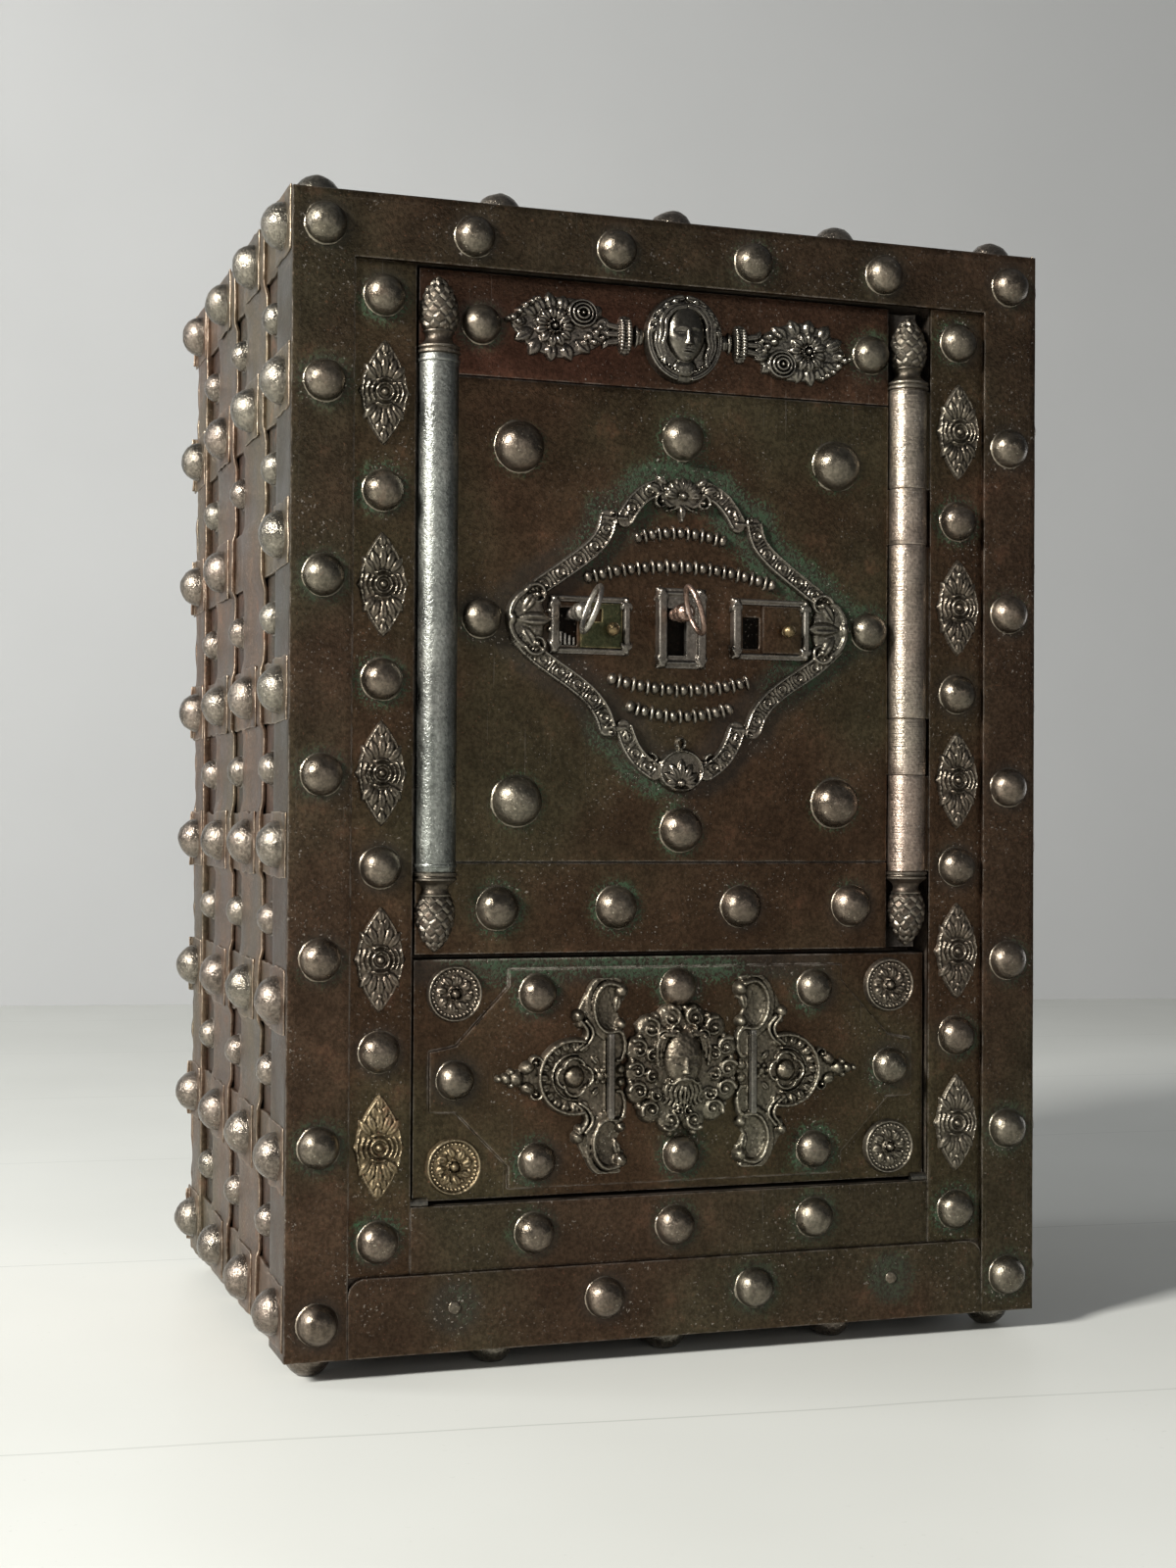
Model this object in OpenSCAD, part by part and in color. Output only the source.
/* [Body] */
// Width over the side bands
body_w = 630; // [560:1:760]
// Height without the feet
body_h = 880; // [860:1:1000]
// Depth from the face of the front frame to the face of the back bands
body_d = 465; // [380:1:560]
// Thickness of the outer iron plates
plate_t = 5; // [3:0.5:8]
// Thickness of the oak planking inside the plates
wood_t = 36; // [20:1:45]
// Thickness of the sheet lining inside the oak
lining_t = 3; // [1.5:0.5:5]
// Thickness of one iron band
band_t = 3; // [2:0.5:5]

/* [Front frame] */
// How far the front frame stands in front of the door face
frame_proud = 8; // [7:0.5:12]
// Thickness of the front legs of the frame irons
frame_t = 6; // [4:0.5:7]
// Width of the stiles on the front
stile_w = 48; // [40:1:58]
// Depth of the frame irons along the sides and top
side_leg = 60; // [50:1:75]
// Height of the top rail
top_rail_h = 50; // [44:1:56]
// Height of the bottom rail
bottom_rail_h = 60; // [52:1:70]
// Radius of the top corners of the bottom rail
bottom_rail_r = 14; // [4:1:24]
// Width of the rosette strips beside the door
strip_w = 48.5; // [46:0.5:52]
// Thickness of the rosette strips and of the sill strip
strip_t = 3; // [2:0.5:4]
// Depth of the jambs, lintel and sill behind the frame
jamb_d = 60; // [58:1:80]
// Width of the stop lips round the opening
lip_w = 14.5; // [12:0.5:18]

/* [Door] */
// Thickness of the cover plates of the door and the flap
cover_t = 4; // [3:0.5:5]
// Thickness of the leaf behind the cover plates
leaf_t = 24; // [22:0.5:26]
// Height of the joint between the flap and the door
split_z = 300; // [292:1:306]
// Gap on each side of that joint
split_gap = 2; // [1.8:0.1:4]
// Gap between the leaves and the frame
edge_gap = 2.5; // [2:0.1:3]
// Gap between the leaf backs and the stop lips
stop_gap = 0.6; // [0.4:0.1:1.5]
// Height of the frieze plate
frieze_h = 80; // [76:1:84]
// Height of the middle band
mid_band_h = 70; // [64:1:76]
// Joint between two cover plates
plate_joint = 1; // [0.5:0.1:2]

/* [Columns and hinge] */
// Radius of the columns
column_r = 16; // [14:0.5:17]
// Radius of the collars on the columns
collar_r = 17.2; // [16.5:0.1:17.9]
// Height of a collar
collar_h = 9; // [6:0.5:11]
// Height of a neck under a finial
neck_h = 9.5; // [7:0.5:12]
// Radius of a neck
neck_r = 11; // [9:0.5:13]
// Length of a pine cone finial
cone_h = 40; // [32:1:42]
// Radius of a pine cone finial
cone_r = 15.5; // [13:0.5:16]
// How far the shafts reach past the top of the lock panel
shaft_over = 14; // [10:1:16]
// How far the shafts reach past the bottom of the lock panel
shaft_under = 8; // [4:1:9]
// Radius of the hinge pin
pin_r = 6; // [5:0.5:7]
// Length of each moving knuckle
knuckle_h = 46; // [40:1:50]
// Place of the lower moving knuckle along the shaft
knuckle_low = 0.2576; // [0.2:0.0001:0.32]
// Place of the upper moving knuckle along the shaft
knuckle_high = 0.7348; // [0.68:0.0001:0.8]
// Space round the barrel in the leaf
barrel_gap = 1.5; // [1.1:0.1:2]
// Radial clearance of the pins in their bores
running_gap = 0.06; // [0.04:0.01:0.1]
// Axial clearance between knuckles
knuckle_gap = 0.4; // [0.2:0.1:0.8]

/* [Flap] */
// Height of the axis of the flap
flap_axis_z = 113; // [106:1:118]
// Clearance under the flap
flap_gap = 1; // [0.8:0.1:1.4]
// Radius of the trunnions of the flap
trunnion_r = 4; // [3.2:0.1:4]
// How far the trunnions reach into the jambs
trunnion_len = 9; // [6:1:14]
// Thickness of the raised panel of the flap
raised_t = 4; // [2:0.5:5]
// Margin of the raised panel at its two side points
raised_margin = 12; // [9:1:20]
// Travel of the flap bolt
flap_bolt_travel = 16; // [12:1:18]
// Radius of the flap bolt
flap_bolt_r = 5; // [4:0.5:6]
// Thickness of the shelf
shelf_t = 24; // [18:1:30]

/* [Studs] */
// Radius of the studs on the front
stud_r = 16; // [13:0.5:17]
// Radius of the studs at the corners of the lock panel
panel_stud_r = 20; // [16:0.5:21]
// Radius of the studs on the bands
band_stud_r = 18.5; // [15:0.5:20]
// Radius of the studs in the windows between the bands
window_stud_r = 13.5; // [10:0.5:14]
// Radius of the plugs in the bottom rail
plug_r = 5; // [3:0.5:7]
// How far the worn feet are cut flat
foot_flat = 1.5; // [1:0.1:3]
// Distance from the edges to the corner studs
corner_inset = 25; // [24:0.5:28]

/* [Bands] */
// Width of the horizontal bands
cross_w = 48; // [40:1:56]
// Width of the upright bands
upright_w = 92; // [70:1:100]
// Width of the angle irons at the back corners
back_leg = 54; // [46:1:60]
// Number of stud rows up the sides
rows = 8; // [6:1:9]

/* [Rosettes and ornaments] */
// Width of a lozenge rosette
rosette_w = 42; // [34:1:44]
// Height of a lozenge rosette
rosette_h = 82; // [60:1:90]
// Thickness of a rosette plate
rosette_t = 4; // [2:0.5:5]
// Thickness of the ornament castings
casting_t = 5; // [3:0.5:7]
// Radius of the round medallions
medallion_r = 22; // [16:0.5:24]
// Width of the border of the lock shield
shield_w = 12; // [8:1:14]
// Thickness of the border of the lock shield
shield_t = 6; // [4:0.5:8]

/* [Locks] */
// Depth of the lock case behind the leaf
case_d = 27; // [26:0.5:29]
// Wall of the lock case
case_t = 3; // [2:0.5:4]
// Radius of the lock curtains
curtain_r = 22; // [20.5:0.5:22.5]
// Radial clearance of the curtains in the leaf
curtain_gap = 0.3; // [0.2:0.05:0.5]
// Radius of the cam pins
cam_r = 3; // [2:0.1:3.2]
// Throw of the cam pins
cam_throw = 9; // [8:0.1:9.5]
// Thickness of the bolts
bolt_t = 8; // [6:0.5:8.5]
// Height of the bolt bars
bolt_h = 16; // [12:0.5:17]
// Play of the bolts in the case and the keepers
bolt_gap = 0.4; // [0.2:0.1:0.6]
// How far the drawn bolts stay inside the lip
bolt_back = 5; // [4:0.5:8]
// Thickness of the lock frames
lock_frame_t = 6; // [5.5:0.5:8]
// Thickness of the sliding keyhole covers
slip_t = 3; // [2:0.5:3.5]
// Travel of the sliding keyhole covers
slip_travel = 17; // [14:0.5:17]

/* [Keys] */
// Radius of the key shafts
key_r = 4; // [3.4:0.1:4]
// How far the key bows stand out from the door
key_out = 66; // [58:1:80]
// Height of a key bow
bow_h = 42; // [34:1:46]
// Depth of a key bow
bow_d = 28; // [22:1:32]
// Thickness of a key bow
bow_t = 4.5; // [3.5:0.5:6]
// Reach of the bits from the shaft axis
bit_reach = 18.5; // [15:0.5:19]
// Thickness of the bits
bit_t = 2.6; // [2:0.1:3]
// Tilt of the left key
left_tilt = 20; // [0:1:22]
// Tilt of the middle key
mid_tilt = 18; // [0:1:22]

/* [Hidden] */
$fn = 48;
e = 0.01;

// Levels across the width, from the outside in
x_out = body_w / 2;
x_plate = x_out - 2 * band_t;
x_wood = x_plate - plate_t;
x_lin = x_wood - wood_t;
x_in = x_lin - lining_t;
x_stile = x_out - stile_w;
x_open = x_stile - strip_w;
x_lip = x_open - lip_w;
// Levels along the depth: 0 is the face of the door plates
y_face = -frame_proud;
y_frame = y_face + frame_t;
y_strip = y_frame - strip_t;
y_jamb = y_frame + jamb_d;
y_back = y_face + body_d;
y_plate = y_back - 2 * band_t;
y_wood = y_plate - plate_t;
y_lin = y_wood - wood_t;
y_in = y_lin - lining_t;
leaf_back = cover_t + leaf_t;
y_stop = leaf_back + stop_gap;
// Levels up the height, from the underside of the body
z_plate = body_h - 2 * band_t;
z_wood = z_plate - plate_t;
z_lin = z_wood - wood_t;
z_in = z_lin - lining_t;
z_floor = plate_t + wood_t + lining_t;
z_rail = body_h - top_rail_h;
z_sill = flap_axis_z - 2;
door_z0 = split_z + split_gap;
door_z1 = z_rail - split_gap;
flap_z0 = flap_axis_z + flap_gap;
flap_z1 = split_z - split_gap;
frieze_z0 = door_z1 - frieze_h;
panel_z0 = door_z0 + mid_band_h + plate_joint;
panel_z1 = frieze_z0 - plate_joint;
panel_mid_z = (panel_z0 + panel_z1) / 2 - 1;
foot_h = band_stud_r - foot_flat;
// The door, the lock panel, the flap and the body against the sizes they were drawn at
wide = x_open / 218.5;
tall = (panel_z1 - panel_z0) / 374;
low = (flap_z1 - flap_z0) / 184;
high = body_h / 880;
deep = body_d / 465;
// The whole part stands centred on its own extent
y_shift = (key_out - y_back - band_stud_r) / 2;

leaf_x = x_open - edge_gap;
hinge_x = x_open - column_r - edge_gap;
hinge_edge = column_r * 13 / 16;
// The back corner of the hinge edge sweeps this far from the axis
hinge_sweep = norm([hinge_edge, leaf_back]) + stop_gap;
barrel_clear = column_r + barrel_gap;
shaft_z = panel_z0 - shaft_under;
shaft_z1 = panel_z1 + shaft_over;
knuckle_low_z = shaft_z + knuckle_low * (shaft_z1 - shaft_z);
knuckle_high_z = shaft_z + knuckle_high * (shaft_z1 - shaft_z);
trunnion_root = 3.5 * trunnion_r;
raised_w = leaf_x - raised_margin;
shelf_z1 = split_z + shelf_t / 2;
shelf_z0 = shelf_z1 - shelf_t;

// Rows and columns of the band lattice
lattice_z = [for (i = [0:rows - 1]) (32 + 825 * i / (rows - 1)) * high];
lattice_y = [
    y_face + 35 * deep,
    y_face + 168 * deep,
    y_face + 308 * deep,
    y_back - 20 * deep
];
lattice_x = [for (i = [-2:2]) i * (x_out - corner_inset) / 2];
missing_row = 5;

// Studs of the stiles, set by eye a little off an even spacing
left_drift = [0, -6, -3, -2, 10, 19, 0];
right_drift = [2, -14, -12, -6, 1, 2, 0];
function stile_z(i) = (28 + 825 * i / 6) * high;
strip_drift = [0, 0, -4, -5, -5, 0];
function strip_z(i) = (86 + 717 * i / 5 + strip_drift[i]) * high;
x_strip_mid = (x_open + x_stile) / 2 + 1;

// Locks: the axes of the three curtains and their keyholes
lock_left = [-92 * wide, panel_mid_z + 7 * tall];
lock_mid = [-8 * wide, panel_mid_z + 9 * tall];
lock_right = [61 * wide, panel_mid_z + 4 * tall];
hole_left = [[-10, -bit_reach - 5.5], [5.5, 5.5]];
hole_mid = [[-5.5, -bit_reach - 13.5], [12.5, 6]];
hole_right = [[-7, -bit_reach - 0.5], [7, 6]];
curtain_y0 = cover_t + 0.6;
curtain_y1 = leaf_back + 12;
bolt_y0 = curtain_y1 + 2;
bolt_y1 = bolt_y0 + bolt_t;
slot_w = 2 * cam_r + 5;
slot_h = cam_throw + 2 * cam_r + 1.2;
case_x0 = lock_left[0] - curtain_r - 11;
case_x1 = lock_right[0] + curtain_r + 11;
case_z0 = lock_right[1] - curtain_r - 2 - case_t;
case_z1 = lock_mid[1] + curtain_r + 2 + case_t;
bolt_reach = x_lip - bolt_back;

function ellipse(rx, ry, n) = [for (i = [0:n - 1]) [rx * cos(360 * i / n), ry * sin(360 * i / n)]];
function flip(pts) = [for (i = [len(pts) - 1:-1:0]) [-pts[i][0], pts[i][1]]];

// Right half of the lock shield's border line, from the top point down to the bottom point
shield_half = [
    [0, 112], [18, 111], [31, 106], [41, 96], [48, 84], [62, 84], [65, 71], [74, 60],
    [88, 49], [105, 37], [121, 26], [135, 12], [141, 3], [135, -12], [120, -26],
    [105, -36], [89, -46], [75, -57], [66, -69], [62, -81], [48, -81], [43, -95],
    [34, -107], [22, -115], [0, -119]
];
function grown(pts, kx, kz) = [for (p = pts) [p[0] * kx, p[1] * kz]];
// Right half of the raised panel of the flap
raised_half = [
    [0, 84 * low], [141 * wide, 84 * low], [141 * wide, 71 * low],
    [raised_w - 21, 26 * low], [raised_w, 22 * low],
    [raised_w, -24 * low], [raised_w - 21, -25 * low],
    [141 * wide, -68 * low], [141 * wide, -85 * low], [0, -85 * low]
];
flap_mid_z = (flap_z0 + flap_z1) / 2;
// Right-hand scroll bracket, seen from the front, about the middle of its upright
bracket = [
    [-9, -30], [-9, 30], [-4, 44], [-8, 58], [2, 68], [20, 62], [34, 47], [42, 30],
    [60, 12], [92, 4], [92, -4], [60, -14], [42, -24], [34, -42], [20, -56], [2, -66],
    [-8, -56], [-4, -44]
];
bracket_x = 60 * wide;

module seat() {
    translate([0, y_shift, foot_h]) children();
}

module block(x0, x1, y0, y1, z0, z1) {
    translate([x0, y0, z0]) cube([x1 - x0, y1 - y0, z1 - z0]);
}

// Cylinder along the depth
module rod_y(x, z, r, y0, y1) {
    translate([x, y1, z]) rotate([90, 0, 0]) cylinder(h = y1 - y0, r = r);
}

module rod_z(x, y, r, z0, z1) {
    translate([x, y, z0]) cylinder(h = z1 - z0, r = r);
}

module rod_x(y, z, r, x0, x1) {
    translate([x0, y, z]) rotate([0, 90, 0]) cylinder(h = x1 - x0, r = r);
}

// Round stud on a face, standing out along the given turn
module dome(r) {
    intersection() {
        sphere(r);
        translate([-r - 1, -r - 1, 0]) cube([2 * r + 2, 2 * r + 2, r + 1]);
    }
}

module front_dome(x, y, z, r) {
    translate([x, y, z]) rotate([90, 0, 0]) dome(r);
}

// Flat plate cut to an outline drawn on the front
module front_plate(pts, x, z, y0, y1) {
    translate([x, y1, z]) rotate([90, 0, 0]) linear_extrude(y1 - y0) polygon(pts);
}

module mirrored() {
    children();
    mirror([1, 0, 0]) children();
}

// Body shell

module side_plates() {
    color([0.30, 0.25, 0.23]) seat() mirrored()
        block(x_wood, x_plate, y_frame, y_wood, plate_t, z_wood);
}

module end_plates() {
    color([0.26, 0.22, 0.20]) seat() {
        block(-x_plate, x_plate, y_frame, y_plate, z_wood, z_plate);
        block(-x_plate, x_plate, y_frame, y_plate, 0, plate_t);
    }
}

module back_plate() {
    color([0.26, 0.22, 0.20]) seat()
        block(-x_plate, x_plate, y_wood, y_plate, plate_t, z_wood);
}

module oak_sides() {
    color([0.45, 0.31, 0.18]) seat() mirrored()
        block(x_lin, x_wood, y_jamb, y_wood, plate_t, z_wood);
}

module oak_ends() {
    color([0.45, 0.31, 0.18]) seat() {
        block(-x_lin, x_lin, y_jamb, y_wood, z_lin, z_wood);
        block(-x_lin, x_lin, y_jamb, y_wood, plate_t, plate_t + wood_t);
    }
}

module oak_back() {
    color([0.45, 0.31, 0.18]) seat()
        block(-x_lin, x_lin, y_lin, y_wood, plate_t + wood_t, z_lin);
}

module inner_lining() {
    color([0.33, 0.30, 0.27]) seat() difference() {
        block(-x_lin, x_lin, y_jamb, y_lin, plate_t + wood_t, z_lin);
        block(-x_in, x_in, y_jamb - 1, y_in, z_floor, z_in);
    }
}

// Room behind the leaf for the back corner of its hinge edge
module hinge_relief(z0, z1) {
    block(hinge_x - hinge_edge - 2, x_open + 1, y_stop - 1, hinge_sweep, z0 - 1, z1 + 1);
}

module shelf() {
    color([0.30, 0.27, 0.24]) seat() difference() {
        union() {
            block(-x_in, x_in, y_jamb, y_in, shelf_z0, shelf_z1);
            block(-x_lip, x_lip, y_stop, y_jamb + e, shelf_z0, shelf_z1);
        }
        hinge_relief(shelf_z0, shelf_z1);
        rod_z(0, y_stop + 12, flap_bolt_r + running_gap, shelf_z0 - 1, shelf_z1 + 1);
    }
}

// Front frame

module stiles() {
    color([0.27, 0.23, 0.20]) seat() mirrored() union() {
        block(x_stile, x_out, y_face, y_frame, 0, body_h);
        block(x_plate, x_out, y_frame - e, y_face + side_leg, 0, body_h);
    }
}

module top_rail() {
    color([0.29, 0.24, 0.20]) seat() union() {
        block(-x_stile, x_stile, y_face, y_frame, z_rail, body_h);
        block(-x_stile, x_stile, y_frame - e, y_frame + e, z_plate, body_h);
        block(-x_plate, x_plate, y_frame, y_face + side_leg, z_plate, body_h);
    }
}

module bottom_rail() {
    w = x_stile;
    r = bottom_rail_r;
    h = bottom_rail_h;
    color([0.27, 0.23, 0.20]) seat() translate([0, y_frame, 0]) rotate([90, 0, 0])
        linear_extrude(frame_t) union() {
            translate([-w, 0]) square([2 * w, h - r]);
            translate([-w + r, 0]) square([2 * (w - r), h]);
            for (s = [-1, 1]) translate([s * (w - r), h - r]) circle(r);
        }
}

module trunnion_relief() {
    mirrored() rod_x(0, flap_axis_z, trunnion_r + 1, x_open - trunnion_root - 0.8, x_open + 1);
}

module bottom_strip() {
    color([0.29, 0.25, 0.21]) seat() difference() {
        block(-x_open, x_open, y_strip, y_frame, bottom_rail_h, z_sill);
        trunnion_relief();
    }
}

module trunnion_bore() {
    rod_x(0, flap_axis_z, trunnion_r + running_gap, x_open - 1, x_open + trunnion_len + 1);
}

module rosette_strips() {
    color([0.28, 0.24, 0.20]) seat() mirrored() difference() {
        block(x_open, x_stile, y_strip, y_frame, bottom_rail_h, z_rail);
        trunnion_bore();
    }
}

module jamb(side) {
    lip_y = side > 0 ? leaf_back + 5 : y_stop;
    keeper_z = side > 0 ? lock_right[1] : lock_left[1];
    seat() mirror([side > 0 ? 0 : 1, 0, 0]) difference() {
        union() {
            block(x_open, x_wood, y_frame, y_jamb, plate_t, z_wood);
            block(x_lip, x_open + e, lip_y, y_jamb, z_sill, z_rail);
        }
        trunnion_bore();
        block(x_lip - 1, x_open + 1, bolt_y0 - bolt_gap, bolt_y1 + bolt_gap,
            keeper_z - bolt_h / 2 - bolt_gap, keeper_z + bolt_h / 2 + bolt_gap);
    }
}

module jamb_left() {
    color([0.25, 0.22, 0.20]) jamb(-1);
}

module jamb_right() {
    color([0.25, 0.22, 0.20]) jamb(1);
}

module lintel() {
    color([0.25, 0.22, 0.20]) seat() difference() {
        union() {
            block(-x_open, x_open, y_frame, y_jamb, z_rail, z_wood);
            block(-x_lip, x_lip, y_stop, y_jamb, z_rail - lip_w + 2, z_rail + e);
        }
        hinge_relief(z_rail - lip_w, z_rail - 1);
        block(lock_mid[0] - bolt_h / 2 + 2 - bolt_gap, lock_mid[0] + bolt_h / 2 - 2 + bolt_gap,
            bolt_y0 - bolt_gap, bolt_y1 + bolt_gap, z_rail - lip_w, z_rail + 8);
    }
}

module sill() {
    color([0.25, 0.22, 0.20]) seat() difference() {
        block(-x_open, x_open, y_frame, y_jamb, plate_t, z_sill);
        trunnion_relief();
    }
}

// Bands and studs of the outside

module side_band_rows() {
    for (z = lattice_z)
        block(x_plate, x_plate + band_t, y_face + side_leg, y_back - back_leg,
            max(z - cross_w / 2, 0), min(z + cross_w / 2, body_h));
}

module side_cross_bands() {
    color([0.42, 0.33, 0.30]) seat() mirrored() side_band_rows();
}

// Long strip of one band thickness that steps over each cross band; it runs up +Y
module joggled_strip(w) {
    ramp = 2 * band_t;
    rise = [for (z = lattice_z) each [
        [z - cross_w / 2 - ramp, 0], [z - cross_w / 2, 1],
        [z + cross_w / 2, 1], [z + cross_w / 2 + ramp, 0]
    ]];
    inside = [for (p = rise) if (p[0] > 0 && p[0] < body_h) p];
    line = concat([[0, 0]], inside, [[body_h, inside[len(inside) - 1][1]]]);
    linear_extrude(w, center = true) polygon(concat(
        [for (p = line) [p[1] * band_t, p[0]]],
        [for (i = [len(line) - 1:-1:0]) [(line[i][1] + 1) * band_t, line[i][0]]]
    ));
}

module side_upright_bands() {
    color([0.45, 0.36, 0.32]) seat() mirrored() {
        for (i = [1, 2])
            translate([x_plate, lattice_y[i], 0]) rotate([90, 0, 0]) joggled_strip(upright_w);
        block(x_plate, x_out, y_back - back_leg, y_plate, 0, body_h);
    }
}

module back_band_rows() {
    for (z = lattice_z)
        block(-x_out + back_leg, x_out - back_leg, y_plate, y_plate + band_t,
            max(z - cross_w / 2, 0), min(z + cross_w / 2, body_h));
}

module back_cross_bands() {
    color([0.40, 0.32, 0.29]) seat() back_band_rows();
}

module back_upright_bands() {
    color([0.42, 0.34, 0.30]) seat() {
        for (i = [1:3])
            translate([lattice_x[i], y_plate, 0]) rotate([90, 0, 90])
                joggled_strip(upright_w * 34 / 46);
        mirrored() block(x_out - back_leg, x_out, y_plate, y_back, 0, body_h);
    }
}

module top_bands() {
    color([0.40, 0.33, 0.29]) seat() union() {
        for (i = [0:4])
            block(max(lattice_x[i] - upright_w * 34 / 92, -x_plate),
                min(lattice_x[i] + upright_w * 34 / 92, x_plate),
                y_face + side_leg, y_plate, z_plate, body_h);
        for (i = [1:3])
            block(-x_plate, x_plate, max(lattice_y[i] - cross_w / 2, y_face + side_leg),
                min(lattice_y[i] + cross_w / 2, y_plate), z_plate, z_plate + band_t);
    }
}

module band_studs() {
    color([0.45, 0.41, 0.37]) seat() {
        for (side = [-1, 1])
            for (i = [0:3])
                for (k = [0:rows - 1])
                    if (!(side < 0 && i == 1 && k == missing_row))
                        translate([side * x_out, lattice_y[i], lattice_z[k]])
                            rotate([0, side * 90, 0]) dome(band_stud_r);
        for (x = lattice_x)
            for (z = lattice_z)
                translate([x, y_back, z]) rotate([-90, 0, 0]) dome(band_stud_r);
        for (x = lattice_x)
            for (y = lattice_y)
                translate([x, y, body_h]) dome(band_stud_r);
    }
}

module window_studs() {
    color([0.33, 0.27, 0.24]) seat() for (side = [-1, 1])
        for (i = [0:2])
            for (k = [0:rows - 2]) {
                low = i == 0 ? y_face + side_leg : lattice_y[i] + upright_w / 2;
                high = i == 2 ? y_back - back_leg : lattice_y[i + 1] - upright_w / 2;
                translate([side * x_plate, (low + high) / 2, (lattice_z[k] + lattice_z[k + 1]) / 2])
                    rotate([0, side * 90, 0]) dome(window_stud_r);
            }
}

module foot_studs() {
    color([0.30, 0.25, 0.22]) seat() for (x = lattice_x)
        for (y = lattice_y)
            translate([x, y, 0]) intersection() {
                mirror([0, 0, 1]) dome(band_stud_r);
                translate([-band_stud_r, -band_stud_r, -foot_h])
                    cube([2 * band_stud_r, 2 * band_stud_r, foot_h]);
            }
}

module frame_studs() {
    color([0.42, 0.38, 0.34]) seat() {
        for (i = [0:6]) {
            front_dome(-x_out + corner_inset, y_face, stile_z(i) + left_drift[i], stud_r);
            front_dome(x_out - corner_inset, y_face, stile_z(i) + right_drift[i], stud_r);
        }
        for (i = [0:5])
            for (s = [-1, 1])
                front_dome(s * x_strip_mid, y_strip, strip_z(i), stud_r);
        for (x = [-174, -58, 58, 174])
            front_dome(x * wide, y_face, body_h - top_rail_h * 0.54, stud_r);
        for (x = [-63, 63])
            front_dome(x * wide, y_face, bottom_rail_h * 17 / 30, stud_r);
        for (x = [-184, 184])
            front_dome(x * wide, y_face, bottom_rail_h * 17 / 30, plug_r);
        for (x = [-120, -4, 116])
            front_dome(x * wide, y_strip, (bottom_rail_h + z_sill) / 2 + 1, stud_r);
    }
}

module rosette() {
    w = rosette_w / 2;
    h = rosette_h / 2;
    lozenge = [
        [0, h], [w * 0.45, h * 0.62], [w * 0.9, h * 0.3], [w, 0], [w * 0.9, -h * 0.3],
        [w * 0.45, -h * 0.62], [0, -h], [-w * 0.45, -h * 0.62], [-w * 0.9, -h * 0.3],
        [-w, 0], [-w * 0.9, h * 0.3], [-w * 0.45, h * 0.62]
    ];
    front_plate(lozenge, 0, 0, -rosette_t, 0);
    rod_y(0, 0, rosette_w * 0.3, -rosette_t - 1.5, -rosette_t + e);
    front_dome(0, -rosette_t - 1.4, 0, rosette_w * 0.12);
}

module rosettes() {
    color([0.38, 0.36, 0.31]) seat() for (i = [0:4])
        for (s = [-1, 1])
            translate([s * x_strip_mid, y_strip, (strip_z(i) + strip_z(i + 1)) / 2]) rosette();
}

// Hinge

module barrel(r, z0, z1, bore) {
    difference() {
        rod_z(hinge_x, 0, r, z0, z1);
        rod_z(hinge_x, 0, bore, z0 - 1, z1 + 1);
    }
}

// Fixed knuckle with the web that joins it to the strip beside it
module fixed_knuckle(z0, z1) {
    difference() {
        union() {
            rod_z(hinge_x, 0, column_r, z0, z1);
            block(hinge_x, x_open, y_strip, y_frame, z0, z1);
        }
        rod_z(hinge_x, 0, pin_r, z0 - 1, z1 + 1);
    }
}

module frame_knuckles() {
    low = knuckle_low_z;
    high = knuckle_high_z;
    half = knuckle_h / 2 + knuckle_gap;
    color([0.48, 0.33, 0.22]) seat() {
        fixed_knuckle(shaft_z, low - half);
        fixed_knuckle(low + half, high - half);
        fixed_knuckle(high + half, shaft_z1);
    }
}

module door_knuckles() {
    color([0.48, 0.33, 0.22]) seat() for (z = [knuckle_low_z, knuckle_high_z])
        difference() {
            union() {
                rod_z(hinge_x, 0, column_r, z - knuckle_h / 2, z + knuckle_h / 2);
                block(hinge_x - barrel_clear - 6, hinge_x, 0, cover_t,
                    z - knuckle_h / 2, z + knuckle_h / 2);
            }
            rod_z(hinge_x, 0, pin_r + running_gap, z - knuckle_h, z + knuckle_h);
        }
}

module hinge_pin() {
    color([0.50, 0.50, 0.50]) seat() rod_z(hinge_x, 0, pin_r, shaft_z, shaft_z1);
}

// Collar, neck and pine cone, standing on a shaft end
module finial() {
    rotate_extrude() polygon([
        [0, 0], [collar_r - 1, 0], [collar_r, 1], [collar_r, collar_h / 3],
        [collar_r - 1, collar_h / 2], [collar_r - 0.4, collar_h * 0.7],
        [neck_r + 1, collar_h], [neck_r, collar_h + 1], [neck_r, collar_h + neck_h],
        [cone_r * 0.86, collar_h + neck_h + cone_h * 0.08],
        [cone_r, collar_h + neck_h + cone_h * 0.3],
        [cone_r * 0.93, collar_h + neck_h + cone_h * 0.55],
        [cone_r * 0.62, collar_h + neck_h + cone_h * 0.83],
        [cone_r * 0.2, collar_h + neck_h + cone_h], [0, collar_h + neck_h + cone_h]
    ]);
}

module finial_pair(x) {
    translate([x, 0, shaft_z1]) finial();
    translate([x, 0, shaft_z]) mirror([0, 0, 1]) finial();
}

module hinge_finials() {
    color([0.36, 0.34, 0.29]) seat() finial_pair(hinge_x);
}

module left_column() {
    color([0.55, 0.55, 0.53]) seat() rod_z(-hinge_x, 0, column_r, shaft_z, shaft_z1);
}

module left_finials() {
    color([0.40, 0.38, 0.33]) seat() finial_pair(-hinge_x);
}

// Door

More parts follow.
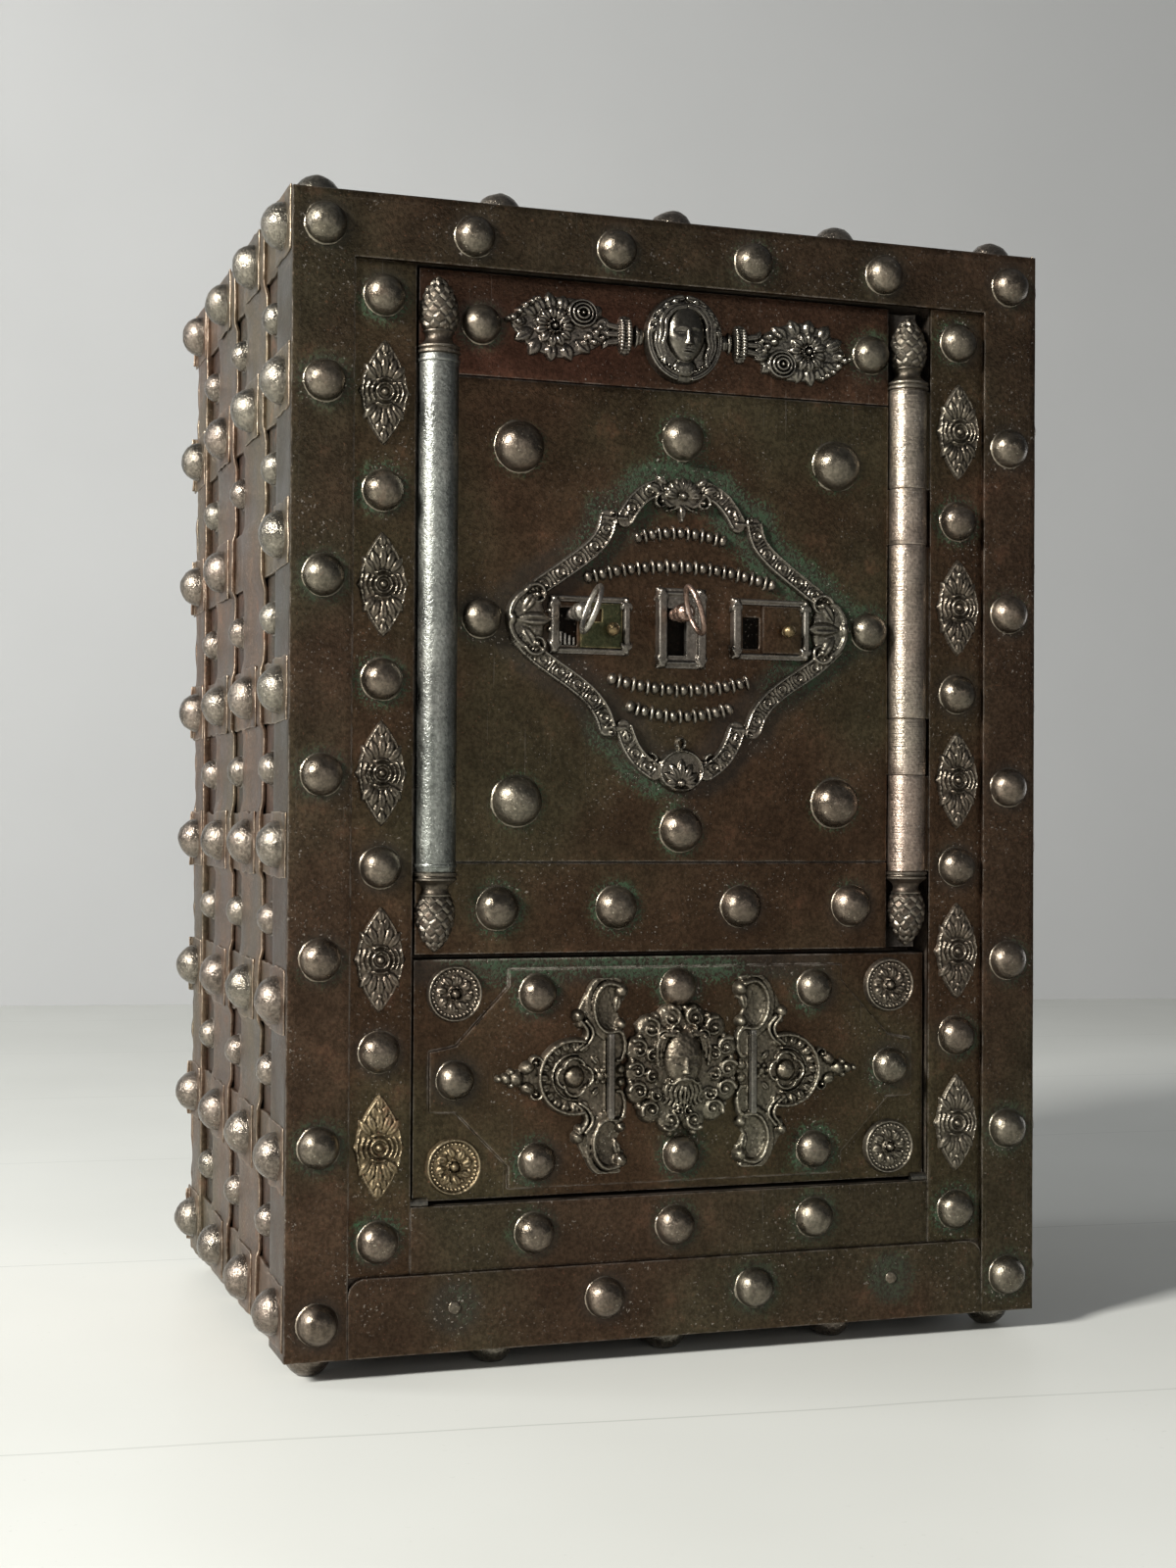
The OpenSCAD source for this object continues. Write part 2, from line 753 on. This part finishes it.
module column_channels() {
    rod_z(hinge_x, 0, barrel_clear, door_z0 - 1, door_z1 + 1);
    rod_z(-hinge_x, 0, column_r, door_z0 - 1, door_z1 + 1);
    for (z = [[door_z0 - 1, shaft_z], [shaft_z1, door_z1 + 1]])
        rod_z(-hinge_x, 0, collar_r + 0.1, z[0], z[1]);
}

module door_sheet(y0, y1, z0, z1) {
    difference() {
        block(-leaf_x, hinge_x + hinge_edge, y0, y1, z0, z1);
        column_channels();
        if (y0 == 0)
            block(-leaf_x - 1, -hinge_x, -1, y1 + 1, z0 - 1, z1 + 1);
        for (z = [knuckle_low_z, knuckle_high_z])
            block(hinge_x - barrel_clear - 6, hinge_x, -1, cover_t,
                z - knuckle_h / 2, z + knuckle_h / 2);
    }
}

module door_leaf() {
    color([0.26, 0.23, 0.21]) seat() difference() {
        door_sheet(cover_t, leaf_back, door_z0, door_z1);
        for (p = [lock_left, lock_mid, lock_right])
            rod_y(p[0], p[1], curtain_r + curtain_gap, cover_t - 1, leaf_back + 1);
    }
}

module frieze_plate() {
    color([0.42, 0.24, 0.18]) seat() door_sheet(0, cover_t, frieze_z0, door_z1);
}

module keyhole(p, hole, y0, y1) {
    block(p[0] + hole[0][0], p[0] + hole[1][0], y0, y1,
        p[1] + hole[0][1], p[1] + hole[1][1]);
}

module keyholes(y0, y1) {
    keyhole(lock_left, hole_left, y0, y1);
    keyhole(lock_mid, hole_mid, y0, y1);
    keyhole(lock_right, hole_right, y0, y1);
}

module main_panel() {
    color([0.32, 0.28, 0.23]) seat() difference() {
        door_sheet(0, cover_t, panel_z0, panel_z1);
        keyholes(-1, cover_t + 1);
    }
}

module mid_band() {
    color([0.30, 0.27, 0.22]) seat() door_sheet(0, cover_t, door_z0, panel_z0 - plate_joint);
}

module door_studs() {
    z_mid = panel_mid_z;
    color([0.46, 0.42, 0.37]) seat() {
        for (s = [-1, 1]) {
            front_dome(s * 135 * wide, 0, z_mid + 136 * tall, panel_stud_r);
            front_dome(s * 135 * wide, 0, z_mid - 139 * tall, panel_stud_r);
            front_dome(s * 164.5 * wide, 0, z_mid + 2 * tall, stud_r * 0.97);
            front_dome(s * 166 * wide, 0, (frieze_z0 + door_z1) / 2, stud_r * 0.97);
            front_dome(s * 150 * wide, 0, door_z0 + mid_band_h / 2, stud_r * 1.06);
            front_dome(s * 53 * wide, 0, door_z0 + mid_band_h / 2, stud_r * 1.06);
        }
        front_dome(wide, 0, z_mid + 150 * tall, stud_r * 1.09);
        front_dome(wide, 0, z_mid - 161 * tall, stud_r * 1.09);
    }
}

module frieze_mask() {
    z = (frieze_z0 + door_z1) / 2;
    color([0.36, 0.28, 0.22]) seat() translate([0, 0, z]) union() {
        front_plate(ellipse(33 * wide, 35.5 * wide, 48), 0, 0, -casting_t, 0);
        intersection() {
            union() {
                translate([0, -casting_t + 2, 8 * wide]) sphere(13 * wide);
                translate([0, -casting_t + 2, -6 * wide]) sphere(10.5 * wide);
            }
            block(-40 * wide, 40 * wide, -40 * wide, -casting_t + e, -40 * wide, 40 * wide);
        }
        for (a = [-60:15:240])
            front_dome(25 * wide * cos(a), -casting_t + e, (25 * sin(a) + 2) * wide, 4 * wide);
    }
}

module frieze_garlands() {
    z = (frieze_z0 + door_z1) / 2;
    color([0.36, 0.29, 0.23]) seat() mirrored() translate([0, 0, z]) {
        translate([103 * wide, 0, 0]) union() {
            for (t = [-1:0.25:1])
                front_dome(34 * t * wide, 0, (9 - 20 * (1 - t * t)) * wide,
                    (8 - 1.5 * abs(t)) * wide);
            for (s = [-1, 1])
                rod_y(s * 34 * wide, 14 * wide, 7 * wide, -casting_t, 0);
        }
        translate([47 * wide, 0, 0]) union() {
            rod_y(0, 0, 4.5 * wide, -casting_t, 0);
            for (s = [-1, 1]) {
                front_dome(0, 0, s * 9 * wide, 4.5 * wide);
                block(-6 * wide, 6 * wide, -casting_t + 1, 0, (s * 14 - 2) * wide,
                    (s * 14 + 2) * wide);
            }
            block(-2.5 * wide, 2.5 * wide, -casting_t + 1, 0, -14 * wide, 14 * wide);
        }
    }
}

module shield_border() {
    right = grown(shield_half, wide, tall);
    line = concat(right, flip([for (i = [1:len(right) - 2]) right[i]]));
    half = shield_w / 2;
    color([0.44, 0.40, 0.34]) seat() translate([0, 0, panel_mid_z]) union() {
        translate([0, 0, 0]) rotate([90, 0, 0]) linear_extrude(shield_t) difference() {
            offset(delta = half) polygon(line);
            offset(delta = -half) polygon(line);
        }
        front_plate(ellipse(19 * wide, 13 * tall, 40), 0, 111 * tall, -shield_t - 2, 0);
        front_dome(0, -shield_t - 2 + e, 111 * tall, 7 * wide);
        for (s = [-1, 1]) {
            front_plate(ellipse(17 * wide, 26 * tall, 40), s * 129 * wide, 2 * tall,
                -shield_t - 1, 0);
            front_dome(s * 129 * wide, -shield_t - 1 + e, 2 * tall, 6 * wide);
        }
        front_plate(ellipse(20 * wide, 18 * tall, 40), 0, -114 * tall, -shield_t - 1, 0);
        front_dome(0, -shield_t - 1 + e, -114 * tall, 7 * wide);
    }
}

// Frame with a recess in which a keyhole cover slides behind two lips
module slip_frame(x0, x1, z0, z1) {
    difference() {
        block(x0, x1, -lock_frame_t, 0, z0, z1);
        block(x0 + 5, x1 - 5, -slip_t - 0.6, 1, z0 + 5, z1 - 5);
        block(x0 + 5, x1 - 5, -lock_frame_t - 1, 1, z0 + 8, z1 - 8);
    }
}

left_frame = [-110 * wide, -44 * wide, panel_mid_z - 24 * tall, panel_mid_z + 22 * tall];
right_frame = [43 * wide, 110 * wide, panel_mid_z - 24 * tall, panel_mid_z + 25 * tall];

module lock_frames() {
    color([0.40, 0.35, 0.28]) seat() {
        slip_frame(left_frame[0], left_frame[1], left_frame[2], left_frame[3]);
        slip_frame(right_frame[0], right_frame[1], right_frame[2], right_frame[3]);
        difference() {
            block(-21 * wide, 21 * wide, -lock_frame_t + 1, 0, panel_mid_z - 33 * tall,
                panel_mid_z + 31 * tall);
            keyhole(lock_mid, hole_mid, -lock_frame_t, 1);
        }
    }
}

// Keyhole cover with its little knob; it rests clear of the keyhole
module slip(frame, x0, knob_x, knob_z) {
    x1 = frame[1] - 6;
    difference() {
        union() {
            block(x0, x1, -slip_t - 0.3, -0.3, frame[2] + 5.4, frame[3] - 5.4);
            rod_y(knob_x, knob_z, 3, -lock_frame_t - 4, -slip_t);
            translate([knob_x, -lock_frame_t - 5, knob_z]) sphere(5.5);
        }
        children();
    }
}

module cover_left() {
    x0 = lock_left[0] + hole_left[1][0] + 2;
    color([0.42, 0.37, 0.28]) seat() slip(left_frame, x0, -60 * wide, panel_mid_z - 4 * tall) union() {
        block(x0 - 1, x0 + slip_travel - 4, -slip_t - 1, 0,
            lock_left[1] - key_r - 1, lock_left[1] + key_r + 1);
        rod_y(x0 + slip_travel - 4, lock_left[1], key_r + 1, -slip_t - 1, 0);
    }
}

module cover_right() {
    x0 = lock_right[0] + hole_right[1][0] + 2;
    color([0.42, 0.37, 0.28]) seat() slip(right_frame, x0, 90 * wide, panel_mid_z - tall);
}

module lock_case() {
    color([0.34, 0.32, 0.29]) seat() difference() {
        block(case_x0, case_x1, leaf_back, leaf_back + case_d, case_z0, case_z1);
        block(case_x0 + case_t, case_x1 - case_t, leaf_back - 1, leaf_back + case_d - case_t,
            case_z0 + case_t, case_z1 - case_t);
        block(case_x0 - 1, 0, bolt_y0 - bolt_gap, bolt_y1 + bolt_gap,
            lock_left[1] - bolt_h / 2 - bolt_gap, lock_left[1] + bolt_h / 2 + bolt_gap);
        block(0, case_x1 + 1, bolt_y0 - bolt_gap, bolt_y1 + bolt_gap,
            lock_right[1] - bolt_h / 2 - bolt_gap, lock_right[1] + bolt_h / 2 + bolt_gap);
        block(lock_mid[0] - bolt_h / 2 + 2 - bolt_gap, lock_mid[0] + bolt_h / 2 - 2 + bolt_gap,
            bolt_y0 - bolt_gap, bolt_y1 + bolt_gap, case_z1 - case_t - 1, case_z1 + 1);
    }
}

// Drum that the key turns; its cam pin stands out at the back
module curtain(p, tilt, cam) {
    seat() translate([p[0], 0, p[1]]) union() {
        difference() {
            rod_y(0, 0, curtain_r, curtain_y0, curtain_y1);
            rod_y(0, 0, key_r + 0.4, curtain_y0 - 1, leaf_back + 5);
            rotate([0, tilt, 0])
                block(-bit_t / 2 - 0.6, bit_t / 2 + 0.6, curtain_y0 - 1, leaf_back + 5,
                    -bit_reach - 1, 0);
        }
        rod_y(cam[0] * cam_throw, cam[1] * cam_throw, cam_r, curtain_y1 - e, bolt_y1);
    }
}

module curtain_left() {
    color([0.30, 0.29, 0.28]) curtain(lock_left, left_tilt, [1, 0]);
}

module curtain_mid() {
    color([0.30, 0.29, 0.28]) curtain(lock_mid, -mid_tilt, [0, -1]);
}

module curtain_right() {
    color([0.30, 0.29, 0.28]) curtain(lock_right, 0, [-1, 0]);
}

module key(p, tilt) {
    stem = key_out - bow_d + 2;
    seat() translate([p[0], 0, p[1]]) rotate([0, tilt, 0]) union() {
        rod_y(0, 0, key_r, -stem, leaf_back + 2);
        translate([0, -stem + 6, 0]) sphere(key_r + 2);
        rod_y(0, 0, key_r + 1.4, -stem + 10, -stem + 13);
        rod_y(0, 0, key_r + 0.9, -10.5, -8.5);
        translate([-bow_t / 2, 0, 0]) rotate([90, 0, 90]) linear_extrude(bow_t)
            translate([-key_out + bow_d / 2, 0]) difference() {
                polygon(ellipse(bow_d / 2, bow_h / 2, 48));
                polygon(ellipse(bow_d / 2 - 4.2, bow_h / 2 - 4.2, 40));
            }
        difference() {
            block(-bit_t / 2, bit_t / 2, leaf_back - 16, leaf_back + 2, -bit_reach, 0);
            block(-bit_t, bit_t, leaf_back - 11, leaf_back - 9, -bit_reach - 1, -bit_reach + 6);
            block(-bit_t, bit_t, leaf_back - 5, leaf_back - 3, -bit_reach - 1, -bit_reach + 8);
        }
    }
}

module key_left() {
    color([0.52, 0.50, 0.44]) key(lock_left, left_tilt);
}

module key_mid() {
    color([0.62, 0.36, 0.22]) key(lock_mid, -mid_tilt);
}

module bolts_side_left() {
    x = lock_left[0];
    z = lock_left[1];
    w = slot_w / 2 + 4;
    color([0.45, 0.45, 0.44]) seat() difference() {
        union() {
            block(-bolt_reach, x + cam_throw, bolt_y0, bolt_y1, z - bolt_h / 2, z + bolt_h / 2);
            block(x + cam_throw - w, x + cam_throw + w, bolt_y0, bolt_y1,
                z - slot_h - 1, z + bolt_h / 2);
        }
        block(x + cam_throw - slot_w / 2, x + cam_throw + slot_w / 2, bolt_y0 - 1, bolt_y1 + 1,
            z - slot_h + cam_r + 0.6, z + cam_r + 0.6);
    }
}

module bolts_side_right() {
    x = lock_right[0];
    z = lock_right[1];
    w = slot_w / 2 + 4;
    color([0.45, 0.45, 0.44]) seat() difference() {
        union() {
            block(x - cam_throw, bolt_reach, bolt_y0, bolt_y1, z - bolt_h / 2, z + bolt_h / 2);
            block(x - cam_throw - w, x - cam_throw + w, bolt_y0, bolt_y1,
                z - bolt_h / 2, z + slot_h + 1);
        }
        block(x - cam_throw - slot_w / 2, x - cam_throw + slot_w / 2, bolt_y0 - 1, bolt_y1 + 1,
            z - cam_r - 0.6, z + slot_h - cam_r - 0.6);
    }
}

module bolt_top() {
    x = lock_mid[0];
    z = lock_mid[1];
    w = slot_w / 2 + 4;
    color([0.45, 0.45, 0.44]) seat() difference() {
        union() {
            block(x - bolt_h / 2 + 2, x + bolt_h / 2 - 2, bolt_y0, bolt_y1, z - cam_throw,
                z_rail - lip_w - 1);
            block(x - slot_h - 1, x + bolt_h / 2 - 1, bolt_y0, bolt_y1,
                z - cam_throw - w, z - cam_throw + w);
        }
        block(x - slot_h + cam_r + 0.6, x + cam_r + 0.6, bolt_y0 - 1, bolt_y1 + 1,
            z - cam_throw - slot_w / 2, z - cam_throw + slot_w / 2);
    }
}

// Flap

module trunnion_pocket() {
    mirrored() block(x_open - trunnion_root - 2, x_open, -1, cover_t,
        flap_axis_z - 1, flap_axis_z + trunnion_r + 3);
}

module flap_leaf() {
    color([0.26, 0.23, 0.21]) seat() difference() {
        union() {
            block(-leaf_x, leaf_x, cover_t, leaf_back, flap_z0, flap_z1);
            mirrored() {
                block(x_open - trunnion_root, leaf_x, 0, cover_t + e, flap_z0,
                    flap_axis_z + trunnion_r + 2.5);
                rod_x(0, flap_axis_z, trunnion_r, x_open - trunnion_root, x_open + trunnion_len);
            }
            block(-12, 12, leaf_back - e, y_stop + 20, flap_z1 - 28, flap_z1 - 24.5);
        }
        rod_z(0, y_stop + 12, flap_bolt_r + 0.5, flap_z1 - 30, flap_z1 - 20);
    }
}

module flap_panel() {
    color([0.30, 0.27, 0.22]) seat() union() {
        difference() {
            block(-leaf_x, leaf_x, 0, cover_t, flap_z0, flap_z1);
            trunnion_pocket();
        }
        front_plate(concat(raised_half, flip([for (i = [1:8]) raised_half[i]])),
            0, flap_mid_z, -raised_t, e);
    }
}

module flap_studs() {
    y = -raised_t;
    z = flap_mid_z;
    color([0.44, 0.40, 0.35]) seat() {
        r = stud_r * 15 / 16;
        for (x = [-118, 116])
            for (s = [-1, 1]) front_dome(x * wide, y, z + s * 65 * low, r);
        front_dome(-2 * wide, y, z + 68 * low, r);
        front_dome(wide, y, z - 64 * low, r);
        for (s = [-1, 1]) front_dome(s * 184 * wide, y, z, r);
    }
}

module medallion() {
    k = medallion_r / 22;
    rod_y(0, 0, medallion_r, -3, 0);
    translate([0, -3, 0]) rotate([90, 0, 0]) rotate_extrude()
        translate([19 * k, 0]) circle(2.4 * k, $fn = 24);
    front_dome(0, -3 + e, 0, 7 * k);
    for (a = [0:60:300])
        front_dome(11.5 * k * cos(a), -3 + e, 11.5 * k * sin(a), 4 * k);
}

module flap_medallions() {
    color([0.38, 0.34, 0.28]) seat()
        for (s = [-1, 1])
            for (t = [-1, 1])
                translate([s * 184 * wide, 0, flap_mid_z + t * 66 * low]) medallion();
}

// Head with curls at its sides and a beard under it
module flap_mask() {
    k = wide;
    color([0.38, 0.34, 0.28]) seat() translate([0, -raised_t, flap_mid_z + 3 * k]) union() {
        intersection() {
            union() {
                translate([0, 4, 20] * k) sphere(22 * k);
                translate([0, 3, -2] * k) sphere(17 * k);
                translate([0, 2, -19] * k) sphere(13 * k);
                translate([0, 1, -33] * k) sphere(8 * k);
            }
            block(-60 * k, 60 * k, -60 * k, 0, -60 * k, 60 * k);
        }
        for (s = [-1, 1]) {
            rod_y(s * 30 * k, 26 * k, 14 * k, -casting_t, 0);
            rod_y(s * 34 * k, 2 * k, 11 * k, -casting_t, 0);
            rod_y(s * 24 * k, -20 * k, 9 * k, -casting_t, 0);
        }
        rod_y(0, 39 * k, 9 * k, -casting_t, 0);
    }
}

module flap_brackets() {
    color([0.38, 0.34, 0.28]) seat() mirrored()
        translate([bracket_x, -raised_t, flap_mid_z]) union() {
            front_plate(grown(bracket, wide, low), 0, 0, -casting_t, 0);
            block(-5 * wide, 5 * wide, -casting_t - 4, -casting_t + e, -30 * low, 30 * low);
            for (a = [0:90:270])
                rod_y((40 + 11 * cos(a)) * wide, 11 * wide * sin(a), 7 * wide,
                    -casting_t - 2, -casting_t + e);
            rod_y(40 * wide, 0, 9 * wide, -casting_t - 3, -casting_t + e);
            front_dome(40 * wide, -casting_t - 3 + e, 0, 9 * wide);
        }
}

module flap_bolt() {
    z0 = flap_z1 - 17;
    z1 = shelf_z1 + flap_bolt_travel + 1;
    color([0.48, 0.46, 0.42]) seat() union() {
        rod_z(0, y_stop + 12, flap_bolt_r, z0, z1 + 8);
        translate([0, y_stop + 12, z1 + 9]) sphere(9.5);
    }
}

side_plates();
end_plates();
back_plate();
oak_sides();
oak_ends();
oak_back();
inner_lining();
shelf();
stiles();
top_rail();
bottom_rail();
bottom_strip();
rosette_strips();
jamb_left();
jamb_right();
lintel();
sill();
side_cross_bands();
side_upright_bands();
back_cross_bands();
back_upright_bands();
top_bands();
band_studs();
window_studs();
foot_studs();
frame_studs();
rosettes();
frame_knuckles();
hinge_pin();
hinge_finials();
door_leaf();
frieze_plate();
main_panel();
mid_band();
door_studs();
left_column();
left_finials();
door_knuckles();
frieze_mask();
frieze_garlands();
shield_border();
lock_frames();
lock_case();
curtain_left();
curtain_mid();
curtain_right();
key_left();
key_mid();
bolts_side_left();
bolts_side_right();
bolt_top();
cover_left();
cover_right();
flap_leaf();
flap_panel();
flap_studs();
flap_medallions();
flap_mask();
flap_brackets();
flap_bolt();
